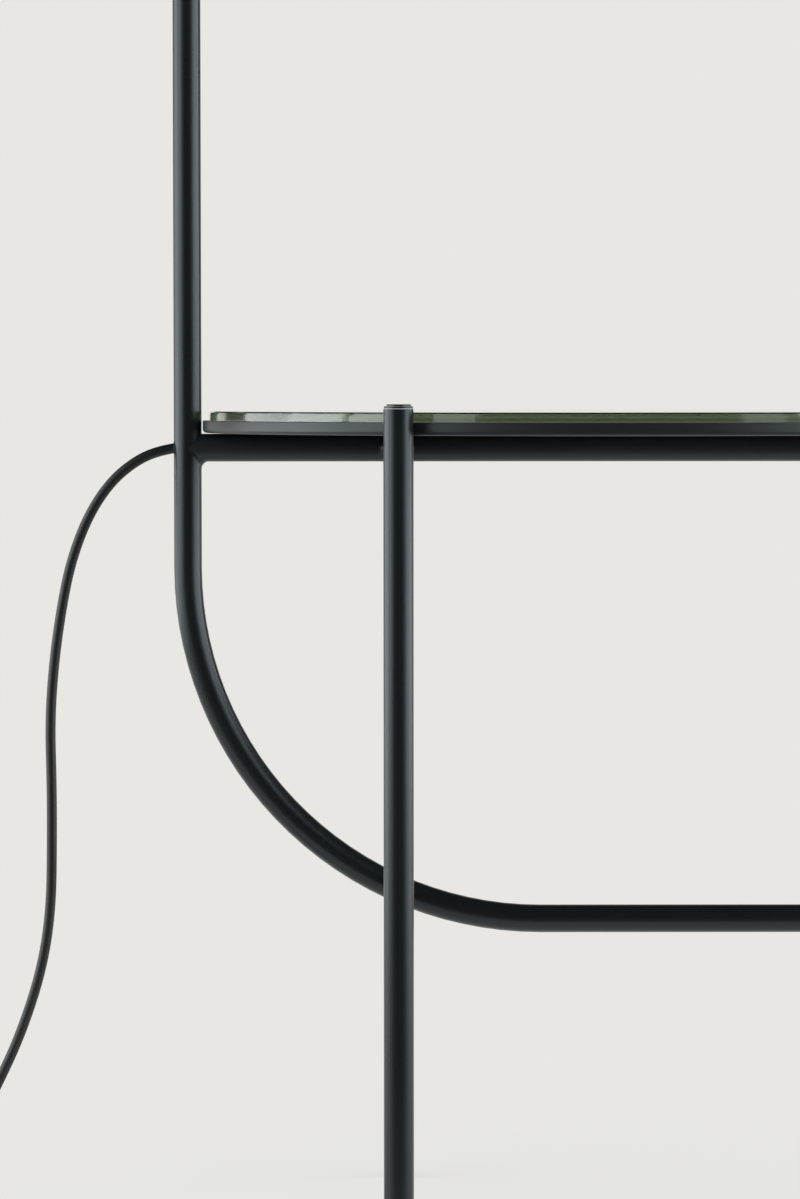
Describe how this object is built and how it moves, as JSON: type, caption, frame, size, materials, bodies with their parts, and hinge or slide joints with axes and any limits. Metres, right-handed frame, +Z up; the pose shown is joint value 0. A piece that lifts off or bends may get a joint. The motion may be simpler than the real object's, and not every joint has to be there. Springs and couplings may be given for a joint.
{
  "type": "floor lamp with table",
  "caption": "Black tubular steel floor lamp whose mast is part of a round glass side table, with a tilting domed shade over it and a mains lead.",
  "frame": {"origin": "on the floor, under the middle of the round table", "axes": "+Z up; the mast stands at -X and the side leg at +X; the front leg and the dimmer knob are towards -Y"},
  "size_m": [0.7312, 0.526, 1.489],
  "materials": {
    "black_steel": "satin black powder coat on steel",
    "black_shade": "satin black powder coat outside, white inside, on spun steel sheet",
    "plain_steel": "zinc-plated steel",
    "cap_plastic": "moulded black plastic, satin",
    "foot_rubber": "moulded black rubber",
    "clear_rubber": "translucent soft bumpers",
    "spacer_plastic": "black nylon",
    "table_glass": "clear tempered float glass with polished edges, green at the edge",
    "cord_sheath": "black flexible sheath, dull",
    "tie_plastic": "black plastic strap",
    "plug_plastic": "moulded black plastic",
    "pin_metal": "nickel-plated",
    "holder_plastic": "moulded black plastic",
    "contact_brass": "plain brass",
    "bulb_white": "white moulded plastic",
    "bulb_opal": "opal white diffuser"
  },
  "bodies": {
    "frame": {"mast_lower_tube": "black_steel", "mast_upper_tube": "black_steel", "mast_spigot": "plain_steel", "spigot_grub_screw": "plain_steel", "table_bar": "black_steel", "front_upper_strut": "black_steel", "rear_upper_strut": "black_steel", "front_lower_strut": "black_steel", "rear_lower_strut": "black_steel", "front_leg": "black_steel", "rear_leg": "black_steel", "side_leg": "black_steel", "front_leg_cap": "cap_plastic", "rear_leg_cap": "cap_plastic", "side_leg_cap": "cap_plastic", "front_foot": "foot_rubber", "rear_foot": "foot_rubber", "side_foot": "foot_rubber", "weld_beads": "black_steel", "tray": "black_steel", "tray_spacers": "spacer_plastic", "tray_screws": "plain_steel", "glass_bumpers": "clear_rubber", "arm_plug": "black_steel", "cord_grommet": "foot_rubber", "mast_cable": "cord_sheath", "cord_hang": "cord_sheath", "cord_coil": "cord_sheath", "cord_tail": "cord_sheath", "coil_tie": "tie_plastic", "plug_body": "plug_plastic", "plug_pins": "pin_metal"},
    "glass": {"glass_top": "table_glass"},
    "head": {"head_fork": "black_steel", "pivot_washers": "spacer_plastic", "pivot_bolt": "plain_steel", "pivot_nut": "plain_steel", "holder_cup": "black_steel", "head_nipple": "plain_steel", "nipple_nut": "plain_steel", "head_cable": "cord_sheath", "lamp_holder": "holder_plastic", "holder_shell": "contact_brass", "holder_contact": "contact_brass", "shade_ring": "holder_plastic", "shade": "black_shade", "bulb_cap": "pin_metal", "bulb_body": "bulb_white", "bulb_globe": "bulb_opal", "dimmer_body": "holder_plastic", "dimmer_nut": "plain_steel"},
    "knob": {"dimmer_shaft": "plain_steel", "dimmer_knob": "cap_plastic"}
  },
  "joints": [
    {"name": "head_tilt", "type": "hinge", "parent": "frame", "child": "head", "pos_m": [0, 0, 1.48], "axis": [0, 1, 0], "range_deg": [-35, 25]},
    {"name": "dimmer_turn", "type": "hinge", "parent": "head", "child": "knob", "pos_m": [0, -0.034, 1.423], "axis": [0, 1, 0], "range_deg": [0, 270]},
    {"name": "glass_lift", "type": "slide", "parent": "frame", "child": "glass", "axis": [0, 0, 1], "range_m": [0, 0.15]}
  ]
}
